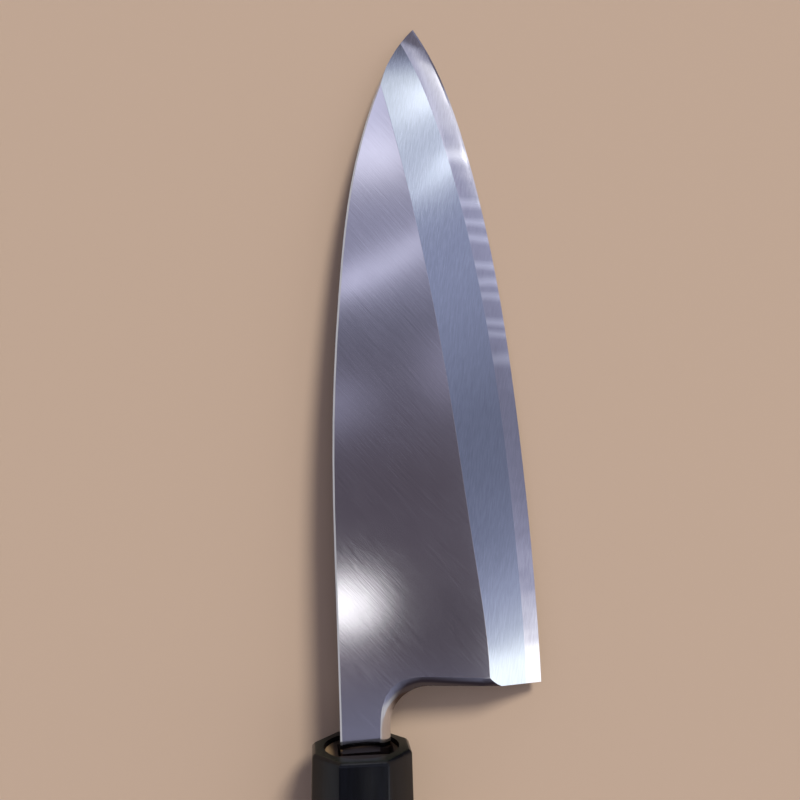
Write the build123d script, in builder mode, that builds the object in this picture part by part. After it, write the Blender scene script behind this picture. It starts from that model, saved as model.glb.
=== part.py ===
from build123d import *
from math import radians, sqrt, tan
import os

# A single-bevel deba with an octagonal handle, in millimetres.
# Each piece is drawn in the knife's own axes: Y along the handle's axis towards the tip,
# X towards the cutting edge, Z out of the front face, zero at the middle of the ferrule's mouth.
# At the end the whole knife is laid on a table, where it rests on the ferrule and the belly of its edge.

# Blade outline
blade_length = 180.0      # straight from the heel's corner to the tip
heel_reach = 48.7         # from the handle's axis to the heel's corner
tip_reach = 15.8          # from the handle's axis to the tip, on the edge's side
back_reach = 6.9          # from the handle's axis to the spine, where it bulges most
neck_length = 13.4        # from the ferrule to the heel's corner
neck_width = 13.1
neck_back = 5.5           # from the handle's axis to the neck's spine side
choil_rise = 1.85         # how much further from the ferrule the choil is at the neck than at the heel
choil_radius = 9.8

# Blade thickness and bevels
neck_thickness = 7.4
face_lean = 2.2           # degrees between the front face and the flat back
bevel_width = 19.5        # from the edge to the ridge, at its widest
edge_flat = 0.12          # the thickness left at the very edge
small_bevel_width = 0.6
small_bevel_height = 0.22
spine_chamfer = 0.45

# Hollow back
hollow_depth = 0.55
hollow_rim = 2.4
hollow_spread_share = 1.3

# Hard steel under the iron
steel_thickness = 1.45
steel_start = 4.5         # from the ferrule to where the steel begins on the neck
steel_scarf = 3.0

# Where the blade is measured along its length, as a share from the heel to the tip,
# and there the spine, the edge, the bevel's width, the thickness and the steel's thickness
station_shares = (0.0, 0.2, 0.4, 0.6, 0.77, 0.89, 0.955, 1.0)
back_shares = (0.052, 0.01, 0.0, 0.088, 0.262, 0.527, 0.745, 1.0)
edge_shares = (1.0, 0.937, 0.834, 0.688, 0.495, 0.301, 0.149, 0.0)
bevel_shares = (0.77, 0.852, 0.936, 0.997, 0.995, 0.944, 0.87, 0.8)
bevel_stretch_share = 1.35
thickness_shares = (0.985, 0.945, 0.885, 0.8, 0.68, 0.57, 0.5, 0.45)
steel_shares = (1.28, 1.12, 1.03, 1.04, 1.0, 0.98, 0.98, 0.98)
hollow_shares = (-0.12, 1.0, 1.0, 1.0, 0.9, 0.55, -0.1)

# Rounding of the neck and choil: where it is measured, as shares of the turn and then of the choil,
# and at the neck and at each of these its base above the back and its width
round_width = 4.7
turn_shares = (0.0, 0.125, 0.25, 0.375, 0.5, 0.625, 0.75, 0.875, 1.0)
run_shares = (0.38, 1.0)
round_base_shares = (0.486, 0.486, 0.5, 0.514, 0.541, 0.568, 0.595, 0.622, 0.635, 0.649, 0.649, 0.527)
round_width_shares = (0.617, 0.628, 0.67, 0.787, 0.915, 1.0, 0.979, 0.84, 0.734, 0.681, 0.66, 0.574)
round_bulge_share = 0.06

# Tang
tang_length = 92.0
tang_end_width = 5.0
tang_end_thickness = 3.0
tang_clearance = 0.3
slot_burn = 0.4           # how much wider the slot's mouth is burnt
slot_burn_depth = 3.0

# Ferrule and handle
handle_length = 135.0     # from the ferrule's mouth to the butt
front_width = 25.4
front_height = 24.6
butt_width = 31.0
butt_height = 29.2
flat_share = 0.475        # the front and back flats' share of the width
side_flat_share = 0.355   # the side flats' share of the height
ferrule_length = 29.0
ferrule_chamfer = 0.8
tenon_radius = 9.7
tenon_recess = 1.0
tenon_chamfer = 0.4
glue_gap = 0.05
butt_chamfer = 1.6

belly_share = 0.88        # where along the edge the knife touches the table
overrun = 4.0             # how far every cut runs past what it cuts

back_plane = -neck_thickness / 2
neck_front = neck_width - neck_back
blade_run = sqrt(blade_length**2 - (heel_reach - tip_reach) ** 2)
stations = range(len(station_shares))


def along(share):
    return neck_length + blade_run * share


def back_at(i):
    return (tip_reach + back_reach) * back_shares[i] - back_reach


def edge_at(i):
    return tip_reach + (heel_reach - tip_reach) * edge_shares[i]


def face_height(x, thickness):
    return back_plane + thickness - (x + neck_back) * tan(radians(face_lean))


station_at = [along(share) for share in station_shares]
choil_corner = (neck_front, neck_length + choil_rise)

# The edge's curve and the spine's
with BuildLine() as edge_curve:
    Spline(*[(edge_at(i), station_at[i]) for i in stations])
with BuildLine() as spine_curve:
    Spline((-neck_back, 0), *[(back_at(i), station_at[i]) for i in stations])
tip_run_out = edge_curve.line @ 1 + (edge_curve.line % 1) * overrun

# How thick the knife is, seen from the side: thinner towards the tip, and the tang tapers on both faces
with BuildPart() as side_form:
    for x in (-back_reach - overrun, heel_reach + overrun):
        with BuildSketch(Plane.YZ.offset(x)):
            with BuildLine():
                face_line = Spline(
                    (0, face_height(x, neck_thickness)),
                    *[(station_at[i], face_height(x, neck_thickness * thickness_shares[i])) for i in stations],
                )
                far_top = face_line @ 1 + (face_line % 1) * overrun
                Line(face_line @ 1, far_top)
                Line(far_top, (far_top.X, back_plane))
                Line((far_top.X, back_plane), (0, back_plane))
                Line((0, back_plane), (-tang_length, -tang_end_thickness / 2))
                tang_top = (-tang_length, face_height(x, tang_end_thickness / 2 - back_plane))
                Line((-tang_length, -tang_end_thickness / 2), tang_top)
                Line(tang_top, face_line @ 0)
            make_face()
    loft(ruled=True)

# The neck's side and the choil, seen from the front, with the turn between them
with BuildLine() as choil_path:
    FilletPolyline(
        (neck_front, -tang_length),
        choil_corner,
        (heel_reach + overrun, neck_length - overrun * choil_rise / (heel_reach - neck_front)),
        radius=choil_radius,
    )
neck_run, choil_turn, choil_run = choil_path.edges().sort_by(Axis.X)
round_spots = [(neck_run, 0), *[(choil_turn, share) for share in turn_shares]]
round_spots += [(choil_run, share) for share in run_shares]


def rounding_section(i):
    run, share = round_spots[i]
    across = (run % share).rotate(Axis.Z, 90)
    width = round_width * round_width_shares[i]
    wall_point = Vector(0, back_plane + neck_thickness * round_base_shares[i])
    face_point = Vector(width, face_height((run @ share + across * width).X, neck_thickness))
    chord = face_point - wall_point
    middle = wall_point + chord / 2 + Vector(-chord.Y, chord.X) * round_bulge_share
    with BuildSketch(Plane(run @ share, x_dir=across, z_dir=run % share)) as section:
        with BuildLine():
            bulge = ThreePointArc(wall_point, middle, face_point)
            past_face = bulge @ 1 + (bulge % 1) * overrun
            Polyline(bulge @ 1, past_face, (-overrun, past_face.Y), (-overrun, wall_point.Y), bulge @ 0)
        make_face()
    return section.sketch


# Rounding of the neck and choil: a bulging bevel, steep along the neck and shallow at the heel
with BuildPart() as choil_round:
    loft([rounding_section(i) for i in range(len(round_spots))], ruled=True)

# Ground bevel, with the small second bevel at the edge
with BuildPart() as edge_bevel:
    rows = [(station_at[i], edge_at(i), i) for i in stations]
    rows = [(neck_length - overrun, heel_reach, 0)] + rows + [(tip_run_out.Y, tip_run_out.X, stations[-1])]
    for y, edge_x, i in rows:
        with BuildSketch(Plane.XZ.offset(-y)):
            edge = Vector(edge_x, back_plane + edge_flat)
            start = edge + Vector(-small_bevel_width, small_bevel_height)
            past_edge = edge + (edge - start).normalized() * overrun
            ridge_x = edge_x - bevel_width * bevel_shares[i]
            ridge = Vector(ridge_x, face_height(ridge_x, neck_thickness * thickness_shares[i]))
            stretched = start + (ridge - start) * bevel_stretch_share
            top = neck_thickness
            Polygon(past_edge, start, stretched, (stretched.X, top), (past_edge.X, top), align=None)
    loft()

# Hollow ground into the back, running out before the rim all round
with BuildPart() as back_hollow:
    for i, share in enumerate(hollow_shares):
        with BuildSketch(Plane.XZ.offset(-station_at[i])):
            with BuildLine():
                middle_x = (back_at(i) + edge_at(i)) / 2
                half = ((edge_at(i) - back_at(i)) / 2 - hollow_rim) * hollow_spread_share
                low = back_plane - hollow_depth * (hollow_spread_share**2 - 1)
                arch = ThreePointArc(
                    (middle_x - half, low),
                    (middle_x, back_plane + hollow_depth * share),
                    (middle_x + half, low),
                )
                Line(arch @ 0, arch @ 1)
            make_face()
    loft()

# Whole blade with its neck and tang, before it is parted into iron and steel
with BuildPart() as blade_form:
    with BuildSketch(Plane.XY.offset(-neck_thickness)) as outline:
        with BuildLine():
            add(spine_curve.line)
            add(edge_curve.line)
            Polyline(
                edge_curve.line @ 0,
                choil_corner,
                (neck_front, 0),
                (tang_end_width / 2, -tang_length),
                (-tang_end_width / 2, -tang_length),
                spine_curve.line @ 0,
            )
        make_face()
        fillet(outline.vertices().sort_by_distance(choil_corner)[0], choil_radius)
    extrude(amount=neck_thickness * 2)
    add(side_form.part, mode=Mode.INTERSECT)
    face_arrises = [
        (back_at(2), station_at[2], face_height(back_at(2), neck_thickness * thickness_shares[2])),
        (-neck_back * 0.8, -tang_length * 0.4, (neck_thickness + tang_end_thickness) / 4),
    ]
    chamfer([blade_form.edges().sort_by_distance(place)[0] for place in face_arrises], spine_chamfer)
    add(choil_round.part, mode=Mode.SUBTRACT)
    add(edge_bevel.part, mode=Mode.SUBTRACT)
    add(back_hollow.part, mode=Mode.SUBTRACT)

# The steel's share of the blade: a layer over the back, with a slanted end on the neck
with BuildPart() as steel_layer:
    with BuildSketch(Plane.YZ.offset(-back_reach - overrun)):
        with BuildLine():
            weld_line = Spline(
                (steel_start + steel_scarf, back_plane + steel_thickness * steel_shares[0]),
                *[(station_at[i], back_plane + steel_thickness * steel_shares[i]) for i in stations],
            )
            far_weld = weld_line @ 1 + (overrun, 0)
            below = back_plane - overrun
            Polyline(
                weld_line @ 1,
                far_weld,
                (far_weld.X, below),
                (steel_start, below),
                (steel_start, back_plane),
                weld_line @ 0,
            )
        make_face()
    extrude(amount=back_reach + heel_reach + overrun * 2)

with BuildPart() as edge_steel:
    add(blade_form.part)
    add(steel_layer.part, mode=Mode.INTERSECT)

with BuildPart() as blade_iron:
    add(blade_form.part)
    add(steel_layer.part, mode=Mode.SUBTRACT)


def octagon(y):
    grown = -y / handle_length
    half_width = (front_width + (butt_width - front_width) * grown) / 2
    half_height = (front_height + (butt_height - front_height) * grown) / 2
    flat = half_width * flat_share
    side_flat = half_height * side_flat_share
    corners = [(flat, half_height), (half_width, side_flat), (half_width, -side_flat), (flat, -half_height)]
    corners += [(-x, z) for x, z in reversed(corners)]
    return [Vector(x, y, z) for x, z in corners]


def tang_box(y, margin):
    grown = -y / tang_length
    left = -neck_back + (neck_back - tang_end_width / 2) * grown - margin
    right = neck_front + (tang_end_width / 2 - neck_front) * grown + margin
    reach = neck_thickness / 2 + (tang_end_thickness - neck_thickness) / 2 * grown + margin
    return [(left, -reach), (right, -reach), (right, reach), (left, reach)]


# Octagonal stock for the ferrule and the handle, its eight sides flat, growing towards the butt
with BuildPart() as octagonal_stock:
    with BuildSketch(Plane.XZ):
        Rectangle(butt_width + overrun, butt_height + overrun)
    extrude(amount=handle_length)
    mouth, butt = octagon(0), octagon(-handle_length)
    for i, corner in enumerate(mouth):
        across = corner - mouth[i - 1]
        outward = (butt[i] - corner).cross(across)
        split(bisect_by=Plane(corner, x_dir=across, z_dir=outward), keep=Keep.BOTTOM)

# Ferrule: a horn ring, octagonal outside and round inside
with BuildPart() as ferrule:
    add(octagonal_stock.part)
    split(bisect_by=Plane.XZ.offset(ferrule_length), keep=Keep.BOTTOM)
    chamfer(ferrule.faces().sort_by(Axis.Y)[-1].edges(), ferrule_chamfer)
    with BuildSketch(Plane.XZ.offset(-overrun)):
        Circle(tenon_radius + glue_gap)
    extrude(amount=ferrule_length + overrun * 2, mode=Mode.SUBTRACT)

# Handle: octagonal wood behind the ferrule, a round tenon through it, and the slot for the tang
with BuildPart() as handle:
    add(octagonal_stock.part)
    split(bisect_by=Plane.XZ.offset(ferrule_length), keep=Keep.TOP)
    chamfer(handle.faces().sort_by(Axis.Y)[0].edges(), butt_chamfer)
    with BuildSketch(Plane.XZ.offset(tenon_recess)):
        Circle(tenon_radius)
    extrude(amount=ferrule_length - tenon_recess)
    chamfer(handle.faces().sort_by(Axis.Y)[-1].edges(), tenon_chamfer)
    for y in (overrun, -tang_length - tang_clearance):
        with BuildSketch(Plane.XZ.offset(-y)):
            Polygon(*tang_box(y, tang_clearance), align=None)
    loft(ruled=True, mode=Mode.SUBTRACT)
    burnt_to = -tenon_recess - slot_burn_depth
    for y, margin in ((-tenon_recess, tang_clearance + slot_burn), (burnt_to, tang_clearance)):
        with BuildSketch(Plane.XZ.offset(-y)):
            Polygon(*tang_box(y, margin), align=None)
    loft(ruled=True, mode=Mode.SUBTRACT)

# The knife rocks on the belly of its edge until its weight lies over the line from there to the ferrule
belly_point = edge_curve.line @ belly_share + (0, 0, back_plane)
ferrule_point = Vector(front_width / 2 * flat_share, -ferrule_chamfer, -front_height / 2)
up = (edge_curve.line % belly_share).cross(ferrule_point - belly_point).normalized()
table = Plane(origin=ferrule_point, x_dir=Vector(0, 1, 0).cross(up), z_dir=up)
laid = table.location.inverse()
box = Compound([piece.part.moved(laid) for piece in (blade_iron, edge_steel, ferrule, handle)]).bounding_box()
place = Location((-box.center().X, -box.center().Y, -box.min.Z)) * laid

blade_iron.part = blade_iron.part.moved(place)
edge_steel.part = edge_steel.part.moved(place)
ferrule.part = ferrule.part.moved(place)
handle.part = handle.part.moved(place)

blade_iron.part.label = "blade_iron"
edge_steel.part.label = "edge_steel"
ferrule.part.label = "ferrule"
handle.part.label = "handle"

os.makedirs("parts", exist_ok=True)
export_step(blade_iron.part, "parts/blade_iron.step")
export_step(edge_steel.part, "parts/edge_steel.step")
export_step(ferrule.part, "parts/ferrule.step")
export_step(handle.part, "parts/handle.step")
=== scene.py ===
import math

import bmesh
import bpy
from mathutils import Matrix, Vector


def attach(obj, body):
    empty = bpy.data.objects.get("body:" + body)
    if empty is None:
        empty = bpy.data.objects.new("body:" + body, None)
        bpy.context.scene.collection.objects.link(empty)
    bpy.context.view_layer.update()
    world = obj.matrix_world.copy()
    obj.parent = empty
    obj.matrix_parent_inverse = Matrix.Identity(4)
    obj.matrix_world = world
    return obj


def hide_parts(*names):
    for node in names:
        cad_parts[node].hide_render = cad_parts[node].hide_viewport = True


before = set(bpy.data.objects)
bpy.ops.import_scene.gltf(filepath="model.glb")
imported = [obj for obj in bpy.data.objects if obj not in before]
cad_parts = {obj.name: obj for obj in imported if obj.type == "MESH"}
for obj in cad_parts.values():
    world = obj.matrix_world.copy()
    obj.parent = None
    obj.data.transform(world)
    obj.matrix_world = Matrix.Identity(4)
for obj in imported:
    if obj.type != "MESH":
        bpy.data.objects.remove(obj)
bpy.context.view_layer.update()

mm = 0.001
weldReach = 0.002             # mm, within which the corners of loose triangles are one

# The knife's own axes in the frame: x to the cutting edge, y to the tip, z out of the front face,
# from the middle of the ferrule's mouth
knife = {
    "mouth": Vector((-16.0772, -27.3068, 12.8308)) * mm,
    "toEdge": Vector((0.994677, -0.003914, -0.102965)),
    "toTip": Vector((0.0, 0.999278, -0.037989)),
    "outOfFace": Vector((0.103039, 0.037786, 0.993959)),
}
knifeTurn = Matrix((knife["toEdge"], knife["toTip"], knife["outOfFace"]))


def inKnife(point):
    return knifeTurn @ (Vector(point) - knife["mouth"])


def toLinear(hexColour):
    channels = [int(hexColour[i:i + 2], 16) / 255 for i in (1, 3, 5)]
    return [c / 12.92 if c <= 0.04045 else ((c + 0.055) / 1.055) ** 2.4 for c in channels] + [1.0]


def addNode(tree, kind, inputs=None, **settings):
    node = tree.nodes.new(kind)
    for name, value in settings.items():
        setattr(node, name, value)
    for socket, value in (inputs or {}).items():
        if isinstance(value, bpy.types.NodeSocket):
            tree.links.new(value, node.inputs[socket])
        else:
            node.inputs[socket].default_value = value
    return node


def startMaterial(name, settings):
    material = bpy.data.materials.new(name)
    material.use_nodes = True
    tree = material.node_tree
    shader = tree.nodes["Principled BSDF"]
    for socket, value in settings.items():
        shader.inputs[socket].default_value = value
    return material, tree, shader


def knifePlace(tree, turn=0, scale=(1, 1, 1)):
    # object coordinates in the knife's own axes, turned in the plane of the blade, then stretched
    coordinates = addNode(tree, "ShaderNodeTexCoord").outputs["Object"]
    turned = Matrix.Rotation(math.radians(turn), 3, "Z") @ knifeTurn
    lined = addNode(tree, "ShaderNodeMapping", {
        "Vector": coordinates, "Rotation": turned.to_euler(),
        "Location": turned @ knife["mouth"] * -1,
    })
    return addNode(tree, "ShaderNodeMapping", {
        "Vector": lined.outputs[0], "Scale": scale,
    }).outputs[0]


def mergedCopy(nodeName, pieceName):
    # a copy of the CAD node with its loose triangles joined
    mesh = bpy.data.meshes.new(pieceName)
    piece = bpy.data.objects.new(pieceName, mesh)
    bpy.context.scene.collection.objects.link(piece)
    bm = bmesh.new()
    bm.from_mesh(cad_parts[nodeName].data)
    bmesh.ops.remove_doubles(bm, verts=bm.verts, dist=weldReach * mm)
    return piece, bm


def finishPiece(piece, bm, nodeName, materials):
    bmesh.ops.recalc_face_normals(bm, faces=bm.faces)
    bm.to_mesh(piece.data)
    bm.free()
    for material in materials:
        piece.data.materials.append(material)
    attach(piece, "root")
    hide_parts(nodeName)
    print("made", piece.name, len(piece.data.polygons), "faces")


# Ground steel

grinding = {
    "scratchStretch": 0.02,   # a scratch's width as a share of its length
    "waveStretch": 0.35,      # the same for the stone's waves, which run across the band
    "dullerShare": 0.15,      # how far the roughness strays from its middle
    "dullerNoise": (0.35, 0.65), "furrowNoise": (0.3, 0.7),    # noise from none to all of it
}


def paintedRippleHighlightMask(tree, finish):
    # 1 in each bar of painted highlight across the band, 0 between them
    axes = addNode(tree, "ShaderNodeSeparateXYZ", {"Vector": knifePlace(tree)})
    uneven = addNode(tree, "ShaderNodeTexNoise", {
        "Vector": knifePlace(tree), "Scale": 1 / (finish["barWander"] * mm), "Detail": 1.0,
    })
    shift = addNode(tree, "ShaderNodeMapRange", {
        "Value": uneven.outputs[0], "From Min": 0.0, "From Max": 1.0,
        "To Min": -finish["barShift"] * mm, "To Max": finish["barShift"] * mm,
    })
    along = addNode(tree, "ShaderNodeMath", {
        0: axes.outputs["Y"], 1: shift.outputs[0],
    }, operation="ADD")
    share = addNode(tree, "ShaderNodeMapRange", {
        "Value": along.outputs[0], "From Min": 0.0, "From Max": finish["barsTo"] * mm,
        "To Min": 0.0, "To Max": 1.0,
    })
    node = addNode(tree, "ShaderNodeValToRGB", {"Fac": share.outputs[0]})
    node.color_ramp.interpolation = "EASE"
    elements = node.color_ramp.elements
    elements.remove(elements[1])
    for middle, half in finish["bars"]:
        for at, level in ((middle - half, 0), (middle, 1), (middle + half, 0)):
            elements.new(at / finish["barsTo"]).color = (level, level, level, 1.0)
    return node.outputs[0]


def paintedChoilReflectionMask(tree, finish):
    # 1 on the faces that look to the butt, by their normal's y: where a dark reflection of the
    # shaded table is painted
    facing = addNode(tree, "ShaderNodeSeparateXYZ", {
        "Vector": addNode(tree, "ShaderNodeNewGeometry").outputs["Normal"],
    })
    return addNode(tree, "ShaderNodeMapRange", {
        "Value": facing.outputs["Y"],
        "From Min": finish["choilFrom"], "From Max": finish["choilTo"],
        "To Min": 0.0, "To Max": 1.0,
    }, interpolation_type="SMOOTHSTEP").outputs[0]


def groundSteel(name, finish):
    # steel ground on stone or belt: fine scratches all one way, with patches a little duller
    material, tree, shader = startMaterial(name, {
        "Base Color": toLinear(finish["colour"]), "Metallic": 1.0,
        "Roughness": finish["roughness"],
    })
    scratches = addNode(tree, "ShaderNodeTexNoise", {
        "Vector": knifePlace(tree, finish["scratchTurn"], (grinding["scratchStretch"], 1, 1)),
        "Scale": 1 / (finish["scratchWidth"] * mm), "Detail": 2.0,
    })
    worn = addNode(tree, "ShaderNodeTexNoise", {
        "Vector": knifePlace(tree), "Scale": 1 / (finish["patchWidth"] * mm), "Detail": 3.0,
    })
    mixed = addNode(tree, "ShaderNodeMix", {
        "Factor": 0.5, "A": scratches.outputs[0], "B": worn.outputs[0],
    })
    rough = addNode(tree, "ShaderNodeMapRange", {
        "Value": mixed.outputs[0],
        "From Min": grinding["dullerNoise"][0], "From Max": grinding["dullerNoise"][1],
        "To Min": finish["roughness"] * (1 - grinding["dullerShare"]),
        "To Max": finish["roughness"] * (1 + grinding["dullerShare"]),
    })
    tree.links.new(rough.outputs[0], shader.inputs["Roughness"])
    height = addNode(tree, "ShaderNodeBump", {
        "Height": scratches.outputs[0], "Strength": 1.0, "Distance": finish["scratchDepth"] * mm,
    })
    if "waveDepth" in finish:
        waves = addNode(tree, "ShaderNodeTexNoise", {
            "Vector": knifePlace(tree, 0, (grinding["waveStretch"], 1, 1)),
            "Scale": 1 / (finish["waveLength"] * mm), "Detail": 1.0,
        })
        height = addNode(tree, "ShaderNodeBump", {
            "Height": waves.outputs[0], "Strength": 1.0, "Distance": finish["waveDepth"] * mm,
            "Normal": height.outputs[0],
        })
    tree.links.new(height.outputs[0], shader.inputs["Normal"])
    furrowed = addNode(tree, "ShaderNodeMapRange", {
        "Value": scratches.outputs[0],
        "From Min": grinding["furrowNoise"][0], "From Max": grinding["furrowNoise"][1],
    })
    shown = addNode(tree, "ShaderNodeMix", {
        "Factor": furrowed.outputs[0],
        "A": toLinear(finish["furrow"]), "B": toLinear(finish["colour"]),
    }, data_type="RGBA")
    # the faces that look to the butt get a painted dark reflection of the shaded table
    if "paintedChoilReflection" in finish:
        shown = addNode(tree, "ShaderNodeMix", {
            "Factor": paintedChoilReflectionMask(tree, finish),
            "A": shown.outputs["Result"], "B": toLinear(finish["paintedChoilReflection"]),
        }, data_type="RGBA")
    # white bars across the band are painted highlights
    if "bars" in finish:
        shown = addNode(tree, "ShaderNodeMix", {
            "Factor": paintedRippleHighlightMask(tree, finish),
            "A": shown.outputs["Result"], "B": toLinear(finish["paintedRippleHighlight"]),
        }, data_type="RGBA")
    tree.links.new(shown.outputs["Result"], shader.inputs["Base Color"])
    return material


# Widths, depths and lengths in mm. The scratches of the real belt and stones are finer than shows
# here, so they are drawn as coarse as the picture needs.
frontFace = groundSteel("satinGroundSoftIron", {    # belt marks slant across a soft mirror
    "colour": "#cbc9cd", "furrow": "#c1bfc3", "roughness": 0.105,
    "scratchTurn": 48, "scratchWidth": 0.2, "scratchDepth": 0.003, "patchWidth": 14,
})
bevelFace = groundSteel("stoneGroundSoftIron", {    # a cooler, even haze, marked along the bevel
    "colour": "#c4ccd6", "furrow": "#b9c1ca", "roughness": 0.11,
    "scratchTurn": -80, "scratchWidth": 0.3, "scratchDepth": 0.002, "patchWidth": 10,
})
steelBand = groundSteel("stonePolishedHardSteel", {    # brighter, with the stone's waves as bumps and bars of painted highlight across the band
    "colour": "#d7d6dc", "furrow": "#cccbd1", "roughness": 0.12,
    "scratchTurn": -80, "scratchWidth": 0.3, "scratchDepth": 0.001, "patchWidth": 8,
    "waveLength": 9, "waveDepth": 0.12,
    "paintedRippleHighlight": "#ffffff", "barWander": 6, "barShift": 0.6,
    "barsTo": 200,            # from the ferrule; then each painted highlight bar's middle and half width
    "bars": [
        (100.3, 2.8), (107.0, 1.6), (110.2, 1.6), (117.4, 2.0), (121.2, 2.2), (125.7, 1.9),
        (133.2, 1.9), (137.5, 1.8), (142.7, 2.0), (155.6, 3.2),
    ],
})
arrisFace = groundSteel("polishedIronArris", {      # smooth along the spine, with a dark painted reflection of the shaded table on the choil
    "colour": "#d4d4d8", "furrow": "#c8c8cc", "roughness": 0.12,
    "scratchTurn": 90, "scratchWidth": 0.3, "scratchDepth": 0.001, "patchWidth": 6,
    "paintedChoilReflection": "#4c403e", "choilFrom": -0.12, "choilTo": -0.42,
})
backFace = groundSteel("hollowGroundBack", {        # duller, marked across by the big wheel
    "colour": "#cbccd1", "furrow": "#bcbdc2", "roughness": 0.17,
    "scratchTurn": 90, "scratchWidth": 0.3, "scratchDepth": 0.003, "patchWidth": 12,
})

blade = {
    "arrisWidth": 0.10,       # mm, how far the worn rounding of a ridge runs into each face
    "sharpAngle": 30,         # degrees, past which two faces meet in a crisp line
    "facetAngle": 4,          # degrees, the same between the bevel and the small bevel at the edge
    "bevelLean": 8.5,         # degrees from the front face, past which a face is the bevel's
    # parts of a face's normal: out of the front face on each kind, and to the tip on the bevel
    "frontOut": 0.99, "bevelOut": 0.9, "backOut": -0.9, "bevelTipward": -0.1,
}
bladeKinds = ("front", "bevel", "arris", "back")


def bladeKind(face):
    normal = knifeTurn @ face.normal
    lean = math.degrees(math.atan2(normal.x, normal.z))
    if lean < blade["bevelLean"] and normal.z > blade["frontOut"]:
        return "front"
    if lean > blade["bevelLean"] and normal.z > blade["bevelOut"]:
        return "bevel" if normal.y > blade["bevelTipward"] else "arris"
    if normal.z < blade["backOut"] and inKnife(face.calc_center_median()).y > 0:
        return "back"
    return "arris"


def wearRidge(bm):
    # a narrow border inside the front and inside the bevel, so the ridge between shades as worn
    for kind in ("front", "bevel"):
        faces = [f for f in bm.faces if f.material_index == bladeKinds.index(kind)]
        bmesh.ops.inset_region(
            bm, faces=faces, thickness=blade["arrisWidth"] * mm, use_even_offset=False,
        )


def sharpenBlade(bm):
    front, bevel = bladeKinds.index("front"), bladeKinds.index("bevel")
    for edge in bm.edges:
        kinds = {face.material_index for face in edge.link_faces}
        limit = blade["facetAngle"] if kinds == {bevel} else blade["sharpAngle"]
        blends = len(kinds) == 1 or kinds == {front, bevel}
        edge.smooth = blends and edge.calc_face_angle(0) < math.radians(limit)


def makeLayer(nodeName, pieceName, worn, materials):
    piece, bm = mergedCopy(nodeName, pieceName)
    bm.normal_update()
    for face in bm.faces:
        face.smooth = True
        face.material_index = bladeKinds.index(bladeKind(face))
    if worn:
        wearRidge(bm)
    sharpenBlade(bm)
    finishPiece(piece, bm, nodeName, materials)


makeLayer(
    "blade_iron", "bladeIron", True, [frontFace, bevelFace, arrisFace, backFace],
)
makeLayer(
    "edge_steel", "edgeSteel", False, [steelBand, steelBand, arrisFace, backFace],
)


# Horn and wood

def hornMaterial(name, finish):
    # buffed water-buffalo horn: near black, a soft waxy gloss, faint lengthwise fibres
    material, tree, shader = startMaterial(name, {
        "Base Color": toLinear(finish["colour"]), "Roughness": finish["roughness"], "IOR": 1.54,
        "Specular IOR Level": 0.25,
    })
    fibres = addNode(tree, "ShaderNodeTexNoise", {
        "Vector": knifePlace(tree, 0, (1, finish["fibreStretch"], 1)),
        "Scale": 1 / (finish["fibreWidth"] * mm), "Detail": 4.0,
    })
    tint = addNode(tree, "ShaderNodeValToRGB", {"Fac": fibres.outputs[0]})
    for element, at, shade in zip(
        tint.color_ramp.elements, finish["fibreNoise"], (finish["colour"], finish["fibre"]),
    ):
        element.position, element.color = at, toLinear(shade)
    tree.links.new(tint.outputs[0], shader.inputs["Base Color"])
    buffed = addNode(tree, "ShaderNodeBump", {
        "Height": fibres.outputs[0], "Strength": 0.2, "Distance": finish["fibreDepth"] * mm,
    })
    tree.links.new(buffed.outputs[0], shader.inputs["Normal"])
    return material


hornFibre = {
    "fibreWidth": 1.2, "fibreDepth": 0.02,          # mm
    "fibreStretch": 0.12, "fibreNoise": (0.35, 0.75),
}
hornSide = hornMaterial("buffedBlackHorn", {        # dark facets that mirror softly
    "colour": "#050608", "fibre": "#0b0d12", "roughness": 0.22, **hornFibre,
})
hornMouth = hornMaterial("filedBlackHorn", {        # greyer and duller where it was filed
    "colour": "#0d100c", "fibre": "#191d16", "roughness": 0.4, **hornFibre,
})


def charAndPaintedShadeMask(tree, finish):
    # 1 round the slot, where the wood is burnt black and its shade in the ferrule's mouth is
    # painted, fading to 0 outwards
    axes = addNode(tree, "ShaderNodeSeparateXYZ", {"Vector": knifePlace(tree)})
    outside = []
    for axis, middle, half in zip("XZ", finish["charMiddle"], finish["charHalf"]):
        aside = addNode(tree, "ShaderNodeMath", {
            0: axes.outputs[axis], 1: middle * mm,
        }, operation="SUBTRACT")
        off = addNode(tree, "ShaderNodeMath", {0: aside.outputs[0]}, operation="ABSOLUTE")
        outside.append(addNode(tree, "ShaderNodeMath", {
            0: off.outputs[0], 1: half * mm,
        }, operation="SUBTRACT").outputs[0])
    away = addNode(tree, "ShaderNodeMath", {0: outside[0], 1: outside[1]}, operation="MAXIMUM")
    return addNode(tree, "ShaderNodeMapRange", {
        "Value": away.outputs[0], "From Min": 0.0, "From Max": finish["charFade"] * mm,
        "To Min": 1.0, "To Max": 0.0,
    }).outputs[0]


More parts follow.
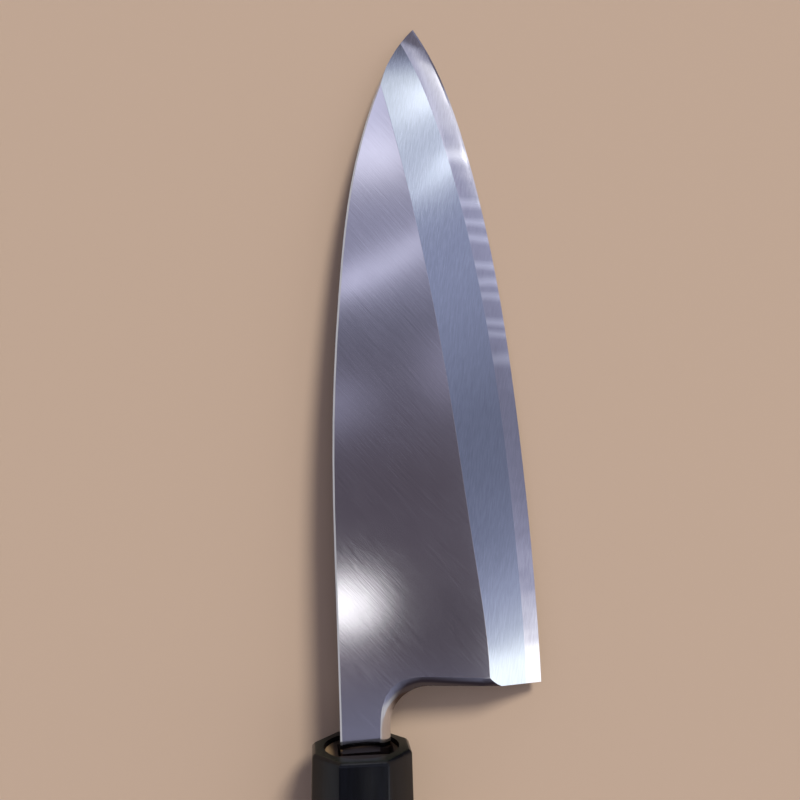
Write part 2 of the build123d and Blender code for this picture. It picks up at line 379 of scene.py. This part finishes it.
def woodMaterial(name, finish):
    # magnolia: pale, even and close-grained, with faint straight grain along the handle
    material, tree, shader = startMaterial(name, {
        "Base Color": toLinear(finish["light"]), "Roughness": finish["roughness"],
    })
    grain = addNode(tree, "ShaderNodeTexNoise", {
        "Vector": knifePlace(tree, 0, (1, finish["grainStretch"], 1)),
        "Scale": 1 / (finish["grainWidth"] * mm), "Detail": 4.0,
    })
    shown = addNode(tree, "ShaderNodeMix", {
        "Factor": grain.outputs[0],
        "A": toLinear(finish["dark"]), "B": toLinear(finish["light"]),
    }, data_type="RGBA")
    # the black round the slot is partly real charring, partly painted shade of the recess
    if "charAndPaintedShade" in finish:
        shown = addNode(tree, "ShaderNodeMix", {
            "Factor": charAndPaintedShadeMask(tree, finish),
            "A": shown.outputs["Result"], "B": toLinear(finish["charAndPaintedShade"]),
        }, data_type="RGBA")
    tree.links.new(shown.outputs["Result"], shader.inputs["Base Color"])
    pores = addNode(tree, "ShaderNodeBump", {
        "Height": grain.outputs[0], "Strength": 0.3, "Distance": finish["poreDepth"] * mm,
    })
    tree.links.new(pores.outputs[0], shader.inputs["Normal"])
    return material


woodGrain = {
    "grainWidth": 0.9, "poreDepth": 0.03,           # mm
    "grainStretch": 0.03,
}
woodSide = woodMaterial("sandedMagnolia", {         # bare and pale, with a faint sheen
    "light": "#dcc8a6", "dark": "#c6ab82", "roughness": 0.5, **woodGrain,
})
woodEnd = woodMaterial("tenonEndOfMagnolia", {      # browner end grain, black round the hot tang, with painted shade over the recessed end
    "light": "#b0946c", "dark": "#8c704e", "roughness": 0.6, **woodGrain,
    "charAndPaintedShade": "#1c120a", "charMiddle": (1.05, 0), "charHalf": (7.9, 8.1), "charFade": 3.1,    # mm
})
woodBurnt = woodMaterial("burntMagnolia", {         # the slot's walls, charred dull
    "light": "#3a2719", "dark": "#160e08", "roughness": 0.8, **woodGrain,
})

octagon = {
    "cornerWidth": 0.35,      # mm, how far the octagon's corners are eased
    "cornerTurn": (25, 60),   # degrees that the faces turn on an edge that is eased
    "cornerSteps": 3,
    "flatWithin": 0.2,        # degrees, within which faces lie in one flat
    "crispAngle": 22,         # degrees, past which two faces meet in a crisp line
    "endLooks": 0.9,          # to the tip, the least of the normal on an end face
}


def easeCorners(bm, keep):
    bmesh.ops.dissolve_limit(
        bm, angle_limit=math.radians(octagon["flatWithin"]), verts=bm.verts, edges=bm.edges,
    )
    bm.normal_update()
    lowest, highest = octagon["cornerTurn"]
    edges = [
        e for e in bm.edges
        if len(e.link_faces) == 2
        and lowest < math.degrees(e.calc_face_angle(0)) < highest and keep(e)
    ]
    bmesh.ops.bevel(
        bm, geom=edges, offset=octagon["cornerWidth"] * mm, offset_type="OFFSET",
        segments=octagon["cornerSteps"], profile=0.5, affect="EDGES", material=-1,
        clamp_overlap=True,
    )
    bm.normal_update()


def sharpenOctagon(bm):
    limit = math.radians(octagon["crispAngle"])
    for face in bm.faces:
        face.smooth = True
    for edge in bm.edges:
        edge.smooth = len(edge.link_faces) == 2 and edge.calc_face_angle(0) < limit


def looksToTip(face):
    return (knifeTurn @ face.normal).y > octagon["endLooks"]


def makeFerrule():
    piece, bm = mergedCopy("ferrule", "hornFerrule")
    easeCorners(bm, lambda edge: True)
    for face in bm.faces:
        face.material_index = 1 if looksToTip(face) else 0
    sharpenOctagon(bm)
    finishPiece(piece, bm, "ferrule", [hornSide, hornMouth])


makeFerrule()

# Places in mm in the knife's axes
handle = {
    "bareFrom": -28.9,        # where the handle comes out of the ferrule
    "slotX": (-7, 9), "slotZ": 4.8, "slotFoot": -93.5,
    "endFrom": -1.5,          # the tenon's end and the chamfer round it
}


def handleMaterial(face):
    middle = inKnife(face.calc_center_median()) / mm
    besideTang = handle["slotX"][0] < middle.x < handle["slotX"][1]
    if besideTang and abs(middle.z) < handle["slotZ"] and middle.y > handle["slotFoot"]:
        if not looksToTip(face):
            return woodBurnt
    return woodEnd if middle.y > handle["endFrom"] else woodSide


def makeHandle():
    piece, bm = mergedCopy("handle", "magnoliaHandle")
    easeCorners(bm, lambda e: max(inKnife(v.co).y for v in e.verts) < handle["bareFrom"] * mm)
    materials = [woodSide, woodBurnt, woodEnd]
    for face in bm.faces:
        face.material_index = materials.index(handleMaterial(face))
    sharpenOctagon(bm)
    finishPiece(piece, bm, "handle", materials)


makeHandle()


# Table, light and camera

studio = {
    "table": "#c0a68c", "tableHalf": 3.0,
    "keyPower": 2.9, "keyAngle": 15, "keyFrom": (0.23, 0.42, 0.40),
}


def makeTable():
    mesh = bpy.data.meshes.new("table")
    table = bpy.data.objects.new("table", mesh)
    bpy.context.scene.collection.objects.link(table)
    bm = bmesh.new()
    bmesh.ops.create_grid(bm, x_segments=1, y_segments=1, size=studio["tableHalf"])
    bm.to_mesh(mesh)
    bm.free()
    material = startMaterial("plainTable", {        # matt and pale, so it only tells the light
        "Base Color": toLinear(studio["table"]), "Roughness": 0.75,
    })[0]
    table.data.materials.append(material)


def makeLight():
    lamp = bpy.data.lights.new("softKey", "SUN")
    lamp.angle, lamp.energy = math.radians(studio["keyAngle"]), studio["keyPower"]
    key = bpy.data.objects.new("softKey", lamp)
    bpy.context.scene.collection.objects.link(key)
    key.location = studio["keyFrom"]
    key.rotation_mode = "QUATERNION"
    key.rotation_quaternion = Vector(studio["keyFrom"]).to_track_quat("Z", "Y")
    key.visible_glossy = False


# The room that the steel mirrors. Over the knife, brightness follows a direction's y, along the
# blade: the ceiling over the front face, and the side of the room that the bevel mirrors. Under
# that is a plain pale wall.
room = {
    "dimTint": "#dfd1e8", "tint": "#d6d8fb",
    "tintTurns": (0.17, 0.32), "tintFades": (0.6, 1.4),
    "ceiling": [
        (-1.0, 0.42), (-0.5, 0.40), (-0.36, 0.40), (-0.26, 0.36), (-0.205, 0.16), (-0.16, 0.13),
        (-0.10, 0.165), (-0.04, 0.18), (0.02, 0.175), (0.06, 0.22), (0.15, 0.27), (0.21, 0.31),
        (0.245, 0.48), (0.35, 0.60), (0.385, 0.84), (0.45, 0.80), (0.53, 0.78), (0.60, 0.28),
        (0.8, 0.5), (1.0, 0.5),
    ],
    "side": [
        (-1.0, 0.42), (-0.5, 0.45), (-0.27, 1.6), (-0.20, 2.0), (-0.16, 1.0), (-0.09, 0.70),
        (-0.03, 0.44), (0.05, 0.34), (0.12, 0.34), (0.20, 0.47), (0.30, 0.60), (0.38, 0.62),
        (0.43, 1.02), (0.475, 1.0), (0.51, 1.2), (0.545, 1.25), (0.57, 0.60), (0.60, 0.18),
        (0.65, 0.20), (0.8, 0.5), (1.0, 0.5),
    ],
    "sideFrom": 0.36, "sideTo": 0.47,    # a direction's x, where the ceiling turns to the side
    "rampTop": 2.0,                      # the brightest level, as a ramp holds none over 1
    "wall": 0.75, "wallColour": "#f2f0f4",
    "wallTop": 0.30, "wallFoot": 0.16,   # a direction's z
    "litTop": 0.26, "litFoot": 0.17,     # the same, where lit places end over the wall
    "anyHeight": 1e4,
    # lit places: x, y, half sizes in x and y, turn in degrees, softness and brightness
    "lit": [
        (0.210, -0.134, 0.042, 0.028, 0, 0.42, 2.6),
        (0.205, -0.190, 0.045, 0.026, 0, 0.9, 0.14),
        (0.215, 0.470, 0.045, 0.040, 0, 0.9, 0.60),
        (0.235, 0.405, 0.045, 0.024, 12, 0.8, 0.95),
        (0.270, 0.283, 0.110, 0.015, 32, 0.8, 0.90),
        (0.222, 0.256, 0.030, 0.020, 0, 0.9, 0.30),
        (0.200, 0.100, 0.040, 0.026, 0, 0.9, 0.38),
        (0.335, 0.145, 0.030, 0.040, 0, 0.9, 0.30),
        (0.410, 0.050, 0.012, 0.400, 0, 0.6, 1.2),
        (0.528, 0.515, 0.024, 0.013, -30, 0.7, 1.7),
        (0.592, 0.432, 0.014, 0.012, 0, 0.6, 2.8),
        (0.716, 0.380, 0.150, 0.024, -60, 0.6, 1.2),
        (0.250, -0.400, 0.350, 0.030, 0, 0.6, 0.8),
        (0.100, 0.953, 0.250, 0.014, 0, 0.7, 2.8),
    ],
}


def roomColour(level):
    # dim places are a little pink, middling ones blue and bright ones white
    turned, faded = [
        min(max((level - low) / (high - low), 0), 1)
        for low, high in (room["tintTurns"], room["tintFades"])
    ]
    ends = zip(toLinear(room["dimTint"]), toLinear(room["tint"]))
    tints = [dim + (full - dim) * turned for dim, full in ends]
    return [level * (c + (1 - c) * faded) for c in tints]


def levelRamp(tree, value, stops):
    share = addNode(tree, "ShaderNodeMapRange", {
        "Value": value, "From Min": -1.0, "From Max": 1.0, "To Min": 0.0, "To Max": 1.0,
    })
    node = addNode(tree, "ShaderNodeValToRGB", {"Fac": share.outputs[0]})
    elements = node.color_ramp.elements
    elements.remove(elements[1])
    for i, (at, level) in enumerate(stops):
        element = elements.new((at + 1) / 2) if i else elements[0]
        element.color = [c / room["rampTop"] for c in roomColour(level)]
    return node.outputs[0]


def roomShare(tree, value, start, end):
    # 0 at one of the room's bounds, 1 at the other
    return addNode(tree, "ShaderNodeMapRange", {
        "Value": value, "From Min": room[start], "From Max": room[end],
    }, interpolation_type="SMOOTHSTEP").outputs[0]


def makeWorld():
    world = bpy.data.worlds.new("studioRoom")
    bpy.context.scene.world = world
    world.use_nodes = True
    tree = world.node_tree
    tree.nodes.clear()
    direction = addNode(tree, "ShaderNodeTexCoord").outputs["Generated"]
    parts = addNode(tree, "ShaderNodeSeparateXYZ", {"Vector": direction})
    ceiling = addNode(tree, "ShaderNodeMix", {
        "Factor": roomShare(tree, parts.outputs["X"], "sideFrom", "sideTo"),
        "A": levelRamp(tree, parts.outputs["Y"], room["ceiling"]),
        "B": levelRamp(tree, parts.outputs["Y"], room["side"]),
    }, data_type="RGBA")
    level = addNode(tree, "ShaderNodeMix", {
        "Factor": roomShare(tree, parts.outputs["Z"], "wallTop", "wallFoot"),
        "A": ceiling.outputs["Result"],
        "B": [room["wall"] / room["rampTop"] * c for c in toLinear(room["wallColour"])],
    }, data_type="RGBA")
    total = addNode(tree, "ShaderNodeVectorMath", {
        0: level.outputs["Result"], "Scale": room["rampTop"],
    }, operation="SCALE").outputs[0]
    overWall = roomShare(tree, parts.outputs["Z"], "litFoot", "litTop")
    for x, y, halfX, halfY, turn, softness, strength in room["lit"]:
        near = addNode(tree, "ShaderNodeMapping", {
            "Vector": direction, "Location": (x, y, 0), "Rotation": (0, 0, math.radians(turn)),
            "Scale": (halfX, halfY, room["anyHeight"]),
        }, vector_type="TEXTURE")
        away = addNode(tree, "ShaderNodeVectorMath", {0: near.outputs[0]}, operation="LENGTH")
        glow = addNode(tree, "ShaderNodeMapRange", {
            "Value": away.outputs["Value"], "From Min": 1 - softness, "From Max": 1 + softness,
            "To Min": overWall, "To Max": 0.0,
        }, interpolation_type="SMOOTHSTEP")
        light = addNode(tree, "ShaderNodeVectorMath", {
            0: roomColour(strength)[:3], "Scale": glow.outputs[0],
        }, operation="SCALE").outputs[0]
        total = addNode(tree, "ShaderNodeVectorMath", {
            0: total, 1: light,
        }, operation="ADD").outputs[0]
    lit = addNode(tree, "ShaderNodeBackground", {"Color": total, "Strength": 1.0})
    addNode(tree, "ShaderNodeOutputWorld", {"Surface": lit.outputs[0]})


camera = {
    "lens": 39.6, "sensor": 36.0,                # mm
    "place": (-0.00522, 0.06186, 0.2404),
    "turn": -0.57,                               # degrees, about the upright
    "clip": (0.01, 20.0),
}


def makeCamera():
    lens = bpy.data.cameras.new("overTable")
    lens.lens, lens.sensor_width = camera["lens"], camera["sensor"]
    lens.clip_start, lens.clip_end = camera["clip"]
    eye = bpy.data.objects.new("overTable", lens)
    bpy.context.scene.collection.objects.link(eye)
    eye.location = camera["place"]
    eye.rotation_euler = (0, 0, math.radians(camera["turn"]))
    bpy.context.scene.camera = eye
    bpy.context.scene.view_settings.view_transform = "Standard"


makeTable()
makeLight()
makeWorld()
makeCamera()
print("table, light and camera are set")
